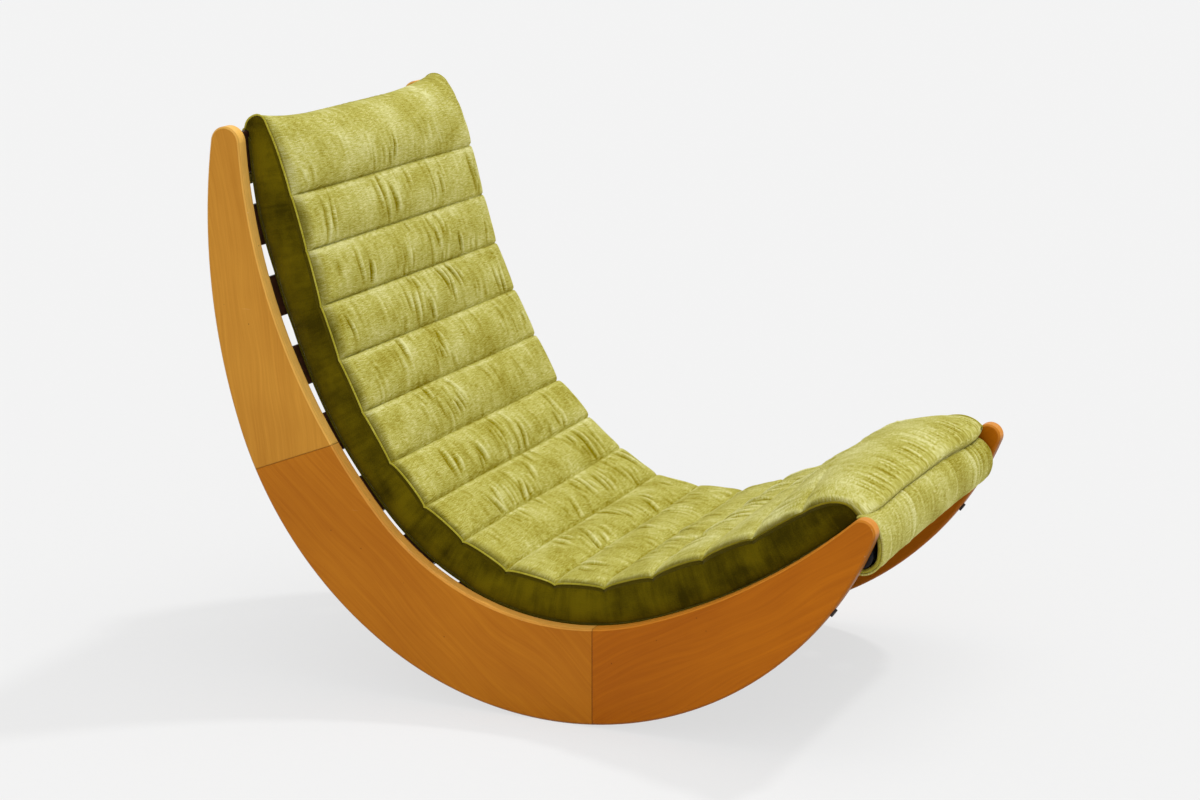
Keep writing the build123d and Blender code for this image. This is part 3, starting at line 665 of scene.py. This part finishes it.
for r in range(ROWS - 1):
    for w in range(SIDE_ROWS - 1):
        faces.append([side_index(near_start, 0, r + i, w + j) for i, j in ((0, 0), (1, 0), (1, 1), (0, 1))])
        faces.append([side_index(far_start, COLS - 1, r + i, w + j) for i, j in ((0, 0), (0, 1), (1, 1), (1, 0))])
    foot_near = [side_index(near_start, 0, i, SIDE_ROWS - 1) for i in (r, r + 1)]
    foot_far = [side_index(far_start, COLS - 1, i, SIDE_ROWS - 1) for i in (r + 1, r)]
    if r == 0:
        faces.append(foot_near + foot_far + [c for c in range(COLS - 2, 0, -1)])
    elif r == ROWS - 2:
        faces.append(foot_near + [(ROWS - 1) * COLS + c for c in range(1, COLS - 1)] + foot_far)
    else:
        faces.append(foot_near + foot_far)
cushion = new_piece("cushion_cover", verts, faces, velvet_cloth)
shell = bmesh.new()
shell.from_mesh(cushion.data)
bmesh.ops.recalc_face_normals(shell, faces=shell.faces)
shell.to_mesh(cushion.data)
shell.free()
weave_top = np.stack([top_x, top_place, np.zeros_like(top_x)], -1).reshape(-1, 3) / 1000.0
weave_near = np.stack([near_place + 3000, near_height, np.zeros_like(near_place)], -1)[:, 1:].reshape(-1, 3) / 1000.0
weave_far = np.stack([far_place + 6000, far_height, np.zeros_like(far_place)], -1)[:, 1:].reshape(-1, 3) / 1000.0
weave = np.vstack([weave_top, weave_near, weave_far])
# Each face corner has its own value, so that the underside can run straight across from foot to foot
corner = np.empty(len(cushion.data.loops), int)
cushion.data.loops.foreach_get("vertex_index", corner)
first, count = np.empty(len(cushion.data.polygons), int), np.empty(len(cushion.data.polygons), int)
cushion.data.polygons.foreach_get("loop_start", first)
cushion.data.polygons.foreach_get("loop_total", count)
foot = np.zeros(len(verts))
foot[near_start + SIDE_ROWS - 2:far_start:SIDE_ROWS - 1] = foot[far_start + SIDE_ROWS - 2::SIDE_ROWS - 1] = 1
under = np.repeat(np.add.reduceat(foot[corner], first) > 3.5, count)
all_places = np.concatenate([top_place.ravel(), near_place[:, 1:].ravel(), far_place[:, 1:].ravel()])
flat_weave = np.stack([verts[:, 0], all_places, np.zeros(len(verts))], 1) / 1000.0
lay = cushion.data.attributes.new("weave", "FLOAT_VECTOR", "CORNER")
lay.data.foreach_set("vector", np.where(under[:, None], flat_weave[corner], weave[corner]).astype(np.float32).ravel())
# Pile shade: a darker colour on the sides, partly pile lying another way and partly painted shade, and painted shade
# on the pillow ends, the top end and the roll by the near edge
end_reach = np.interp(place_line, [-480, -300, -120, 250, 800], [15, 17, 12, 17, 23])
end_reach = end_reach[:, None] * (1 + 0.22 * waves(24, 26.0, 40.0, 14))
shaded_pillow_end = 1 - ease((across[None, :] - 2) / end_reach)
row_shade = row_swell ** 0.5
row_shade[:END] = np.interp(np.arange(END), [0, END - 12, END], [0.0, 0.7, 0.2])
row_shade[last:] = np.interp(np.arange(END + 1), [0, 6, END - 8, END], [0.3, 1.0, 0.6, 0.0])
pile_shade_top = np.interp(place_line, [-420, -120, 250], [0.8, 0.64, 0.72])[:, None] * shaded_pillow_end * row_shade[:, None]
# The near edge's first column takes the full side colour: painted shade where the top turns down
pile_shade_top[:, 0] = 1.0
far_pile_shade = np.interp(np.arange(1, SIDE_ROWS), [1, 4], [0.35, 0.85])
# Painted light and shade: furrows and seams carry painted shade, ridges a painted highlight, the front roll and the
# top end are painted lighter and the seat and lower back a little darker
painted_light_along = np.interp(place_line, [-545, -380, -250, -110, 0, 500, 800, 960],
                  [0.2, 0.2, 0.14, -0.06, -0.12, -0.05, 0.03, 0.1])
shade_highlight_top = lift / 3.0 + painted_light_along[:, None]


def side_shade_highlight(place, height, dent):
    """Painted shade in dents and under the edge seam, darker at the front of a strip, lighter in patches along the
    foot.
    """
    tone = np.interp(place, [-520, -300, -150, 1030], [-0.4, -0.25, 0.0, 0.0])
    tone = tone + 0.16 * np.sin(place / 23.0) * np.sin(place / 61.0 + 1.0) * (height < 30)
    return (tone + np.interp(height, [0, 10, 45, 60], [-0.1, 0.12, 0.0, -0.1]) + 0.06 - 0.14 * dent)[:, 1:].ravel()


# Beside each seam a painted highlight on the lip and a painted shade line in the seam, with a ragged edge
ragged = np.clip(0.8 + 0.3 * waves(20, 30.0, 22.0, 12), 0.3, 1.4)
for s in SEAMS[:CHANNELS]:
    painted_lip_highlight = 0.45 * np.exp(-((place_line - s + 6.5) / 3.5) ** 2)
    painted_seam_shade = 0.55 * np.exp(-((place_line - s - 1.0) / 2.0) ** 2)
    shade_highlight_top += (painted_lip_highlight - painted_seam_shade)[:, None] * ragged
shade_highlight_top = np.clip(shade_highlight_top, -1, 0.9)
near_shade_highlight, far_shade_highlight = side_shade_highlight(near_place, near_height, near_dent), side_shade_highlight(far_place, far_height, far_dent)
attribute(cushion, "shade_and_highlight", "FLOAT", np.concatenate([shade_highlight_top.ravel(), near_shade_highlight, far_shade_highlight]))
# The near side is all side colour and the far side is lighter just under its edge seam: partly pile lying another way,
# partly painted shade
near_pile_shade = np.ones(ROWS * (SIDE_ROWS - 1))
attribute(cushion, "pile_shade", "FLOAT", np.concatenate([pile_shade_top.ravel(), near_pile_shade, np.tile(far_pile_shade, ROWS)]))
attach(cushion, "root")
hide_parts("cushion")

# Welts along the edge seams and feet
EDGE_WELT_RADIUS, FOOT_WELT_RADIUS = 1.5, 2.0


def welt_weave(piece):
    """The cloth's weave on a welt, drawn out along it."""
    values = [(v.co.x * 3, v.co.y + v.co.z, 0) for v in piece.data.vertices]
    attribute(piece, "weave", "FLOAT_VECTOR", values)


welt_cloth = velvet("welt_cloth", linear(206, 198, 96), linear(160, 148, 40), linear(112, 101, 20))
for name, line, x, out in (("near_edge_welt", near_line, NEAR_X, -1), ("far_edge_welt", far_line, FAR_X, 1)):
    y, z = at(line[:, 0], line[:, 1] + 0.6)
    piece = tube(name, np.stack([np.full(ROWS, x + out * 1.2), y, z], 1), EDGE_WELT_RADIUS, welt_cloth)
    welt_weave(piece)
    # The near welt is darker towards the front: painted shade on the near side
    darker = np.interp(line[:, 0], [-450, -150, 60], [1.0, 0.8, 0.2]) * (out < 0)
    attribute(piece, "pile_shade", "FLOAT", np.repeat(darker, TUBE_SIDES))
    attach(piece, "root")
# The foot welts are a dark copy of the cloth: painted shade at the foot of the sides
foot_cloth_shaded = velvet("foot_welt_cloth_shaded", linear(84, 74, 12), linear(58, 50, 4), linear(70, 60, 8))
for name, side, out in (("near_foot_welt", near_side, -1), ("far_foot_welt", far_side, 1)):
    line = side[4:-30, -1].copy()
    line[:, 0] += out * 1.0
    line[:, 2] += 0.4
    piece = tube(name, line, FOOT_WELT_RADIUS, foot_cloth_shaded)
    welt_weave(piece)
    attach(piece, "root")


POCKET_ROWS, POCKET_COLS, POCKET_PLEATS = 64, 170, 70
POCKET_THICKNESS, HEM_RADIUS = 0.003, 3.6
HEM_FIRST, HEM_END = 14, 52


def pocket(name, near_path, mid_path, far_path, x_from, x_to, seed, pleat, trim):
    """A strip of cloth that wraps a bar, with fine pleats that run along the wrap."""
    rows, cols = POCKET_ROWS, POCKET_COLS
    r = np.random.default_rng(seed)
    a, b, c = (smooth_path(path, rows) for path in (near_path, mid_path, far_path))
    t = np.linspace(0, 1, cols)
    by_a, by_c = (1 - t) ** 3, ease((t - 0.6) / 0.4)
    yz = (a[:, None] * by_a[None, :, None] + b[:, None] * (1 - by_a - by_c)[None, :, None]
          + c[:, None] * by_c[None, :, None])
    tangent = np.gradient(yz, axis=0)
    tangent /= np.linalg.norm(tangent, axis=2)[..., None]
    outward = np.stack([tangent[..., 1], -tangent[..., 0]], -1)
    x = x_from + (x_to - x_from) * t
    wave = np.zeros((rows, cols))
    down = np.linspace(0, 1, rows)[:, None]
    for _ in range(POCKET_PLEATS):
        c = x_to - abs(r.normal(0, 0.5)) * 260 if r.random() < 0.6 else r.uniform(x_from + 30, x_to)
        wide, deep = r.uniform(2.5, 6), r.uniform(0.2, 1.0) * pleat
        mid, tall = r.uniform(0.05, 0.6), r.uniform(0.12, 0.4)
        u = (x[None, :] - c - 30 * r.normal(0, 0.25) * (down - mid)) / wide
        wave += deep * np.exp(-((down - mid) / tall) ** 2) * (np.exp(-u ** 2) - 0.7 * np.exp(-(u - 1.6) ** 2))
    wave = np.clip(wave, -0.5, 2.0) * np.clip(np.minimum(down, 1 - down) / 0.08, 0, 1)
    yz = yz + outward * wave[..., None]
    x = np.broadcast_to(x, wave.shape) - trim * (1 - t)[None, :] ** 4 * (1 - ease(down / 0.4))
    points = np.stack([x, yz[..., 0], yz[..., 1]], -1)
    piece = new_piece(name, points.reshape(-1, 3), grid_faces(rows, cols), velvet_cloth)
    length = np.linalg.norm(np.diff(a, axis=0), axis=1).sum()
    along = np.broadcast_to(down * length, wave.shape)
    attribute(piece, "weave", "FLOAT_VECTOR", np.stack([x, along + 3000, np.zeros_like(along)], -1) / 1000.0)
    attribute(piece, "pile_shade", "FLOAT", np.zeros(rows * cols))
    # Painted shade in the pleats' furrows and a painted highlight on their ridges; the strip darkens towards its far
    # end
    attribute(piece, "shade_and_highlight", "FLOAT", np.clip(wave / 2.0, -0.5, 0.5) - 0.05 - 0.35 * t[None, :] ** 2)
    thick = piece.modifiers.new("thickness", "SOLIDIFY")
    thick.thickness, thick.offset = POCKET_THICKNESS, -1.0
    extra = []
    if trim:
        # The near edge is rolled over into a soft hem
        run = a[HEM_FIRST:HEM_END] - HEM_RADIUS * outward[HEM_FIRST:HEM_END, 0]
        hem = tube(name + "_hem", np.column_stack([np.full(len(run), x_from + 2.0), run]), HEM_RADIUS, velvet_cloth)
        attribute(hem, "weave", "FLOAT_VECTOR", [(v.co.x, v.co.y + v.co.z + 3, 0) for v in hem.data.vertices])
        # The hem is darker all over
        attribute(hem, "shade_and_highlight", "FLOAT", np.full(len(hem.data.vertices), -0.35))
        extra.append(hem)
    for one in [piece] + extra:
        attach(one, "root")
    return piece


# Paths of the wraps in the side view as (y, z), at the near end, the middle and the far end
front_near = [(-484, 379), (-494, 379.5), (-503, 378), (-511.5, 370), (-517.5, 356),
              (-520.5, 340), (-520.5, 323), (-517, 308.5), (-508, 298), (-494, 291.5),
              (-480, 293), (-470, 300), (-464, 312), (-462.5, 328), (-463, 346)]
front_mid = [(-478, 374), (-487, 375), (-495.5, 372.5), (-505, 363), (-511.5, 349),
             (-514, 335), (-513.5, 321), (-509.5, 307.5), (-501, 298), (-489, 294),
             (-477, 297), (-468.5, 305), (-464.5, 318), (-464, 332), (-465, 346)]
front_far = [(-474, 362), (-484, 363), (-493, 361.5), (-502, 355), (-509.5, 345),
             (-513, 333), (-513, 319), (-507.5, 304), (-497, 295), (-485, 294),
             (-475, 298.5), (-468, 306.5), (-464.5, 319), (-464, 332), (-465, 346)]
front_pocket = pocket("front_pocket", front_near, front_mid, front_far, -299, 298, 5, 1.0, 11.0)
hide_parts("front_flap")


def high(points):
    """Places and heights as points (y, z)."""
    return [tuple(float(v) for v in at(*p)) for p in points]


top_near = high([(1022, -4), (1022, -11), (1018.5, -18), (1008, -19.5), (985, -19.5), (960, -19.5), (932, -19.5)])
top_pocket = pocket("top_pocket", top_near, top_near, top_near, -296, 298, 6, 0.6, 0.0)
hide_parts("top_flap")

# Floor, world and lamps
FLOOR_HALF, FLOOR_SEEN, PLAIN_SHARE = 40000, 0.864, 0.78
WORLD_SEEN, WORLD_LIGHT = 0.893, 0.45
g = Graph("floor_paper")
where = g.node("ShaderNodeTexCoord", output=3)
tooth = g.noise(g.mapped(where, (60, 60, 60)), 1.0, 2.0)
tint = g.ramp(g.range(tooth, 0.3, 0.7, 0.0, 1.0), [(0.0, (0.835, 0.835, 0.835)), (1.0, (0.85, 0.85, 0.85))])
g.surface(Base_Color=tint, Roughness=0.95, Specular_IOR_Level=0.0)
# The camera sees the floor mostly as its own pale colour, so that the shadows stay as faint as on lit paper
plain = g.tree.nodes.new("ShaderNodeEmission")
plain.inputs["Color"].default_value = (FLOOR_SEEN, FLOOR_SEEN, FLOOR_SEEN, 1.0)
plain.inputs["Strength"].default_value = 1.0
ray = g.tree.nodes.new("ShaderNodeLightPath").outputs
bounced = g.math("MAXIMUM", ray["Is Glossy Ray"], ray["Is Transmission Ray"])
part_plain = g.math("MULTIPLY", g.math("MAXIMUM", ray["Is Camera Ray"], bounced), PLAIN_SHARE)
both = g.node("ShaderNodeMixShader", {0: part_plain, 1: g.shader.outputs[0], 2: plain.outputs[0]})
g.tree.links.new(both, g.out.inputs[0])
corners = [(FLOOR_HALF * x, FLOOR_HALF * y, 0) for x, y in ((-1, -1), (1, -1), (1, 1), (-1, 1))]
floor = new_piece("floor", corners, [(0, 1, 2, 3)], g.material, False)

world = bpy.data.worlds.new("studio")
scene.world = world
world.use_nodes = True
tree = world.node_tree
tree.nodes.clear()
out = tree.nodes.new("ShaderNodeOutputWorld")
seen = tree.nodes.new("ShaderNodeBackground")
light = tree.nodes.new("ShaderNodeBackground")
choose = tree.nodes.new("ShaderNodeMixShader")
path = tree.nodes.new("ShaderNodeLightPath")
seen.inputs["Color"].default_value = (WORLD_SEEN, WORLD_SEEN, WORLD_SEEN, 1.0)
seen.inputs["Strength"].default_value = 1.0
light.inputs["Color"].default_value = (1.0, 1.0, 1.0, 1.0)
light.inputs["Strength"].default_value = WORLD_LIGHT
seen_by = path.outputs["Is Camera Ray"]
for other in ("Is Glossy Ray", "Is Transmission Ray"):
    most = tree.nodes.new("ShaderNodeMath")
    most.operation = "MAXIMUM"
    tree.links.new(seen_by, most.inputs[0])
    tree.links.new(path.outputs[other], most.inputs[1])
    seen_by = most.outputs[0]
tree.links.new(seen_by, choose.inputs[0])
tree.links.new(light.outputs[0], choose.inputs[1])
tree.links.new(seen.outputs[0], choose.inputs[2])
tree.links.new(choose.outputs[0], out.inputs[0])


def sun(name, towards, strength, angle):
    """A distant lamp in the direction towards, as seen from the chair."""
    data = bpy.data.lights.new(name, "SUN")
    data.energy, data.angle = strength, math.radians(angle)
    lamp = bpy.data.objects.new(name, data)
    lamp.rotation_mode = "QUATERNION"
    lamp.rotation_quaternion = Vector(towards).to_track_quat("Z", "Y")
    scene.collection.objects.link(lamp)


sun("key", (220.9, -140.5, 375.0), 1.35, 5.0)
sun("top", (0.15, -0.15, 1.0), 1.0, 60.0)
sun("fill", (-0.9, -0.25, 0.3), 0.92, 80.0)
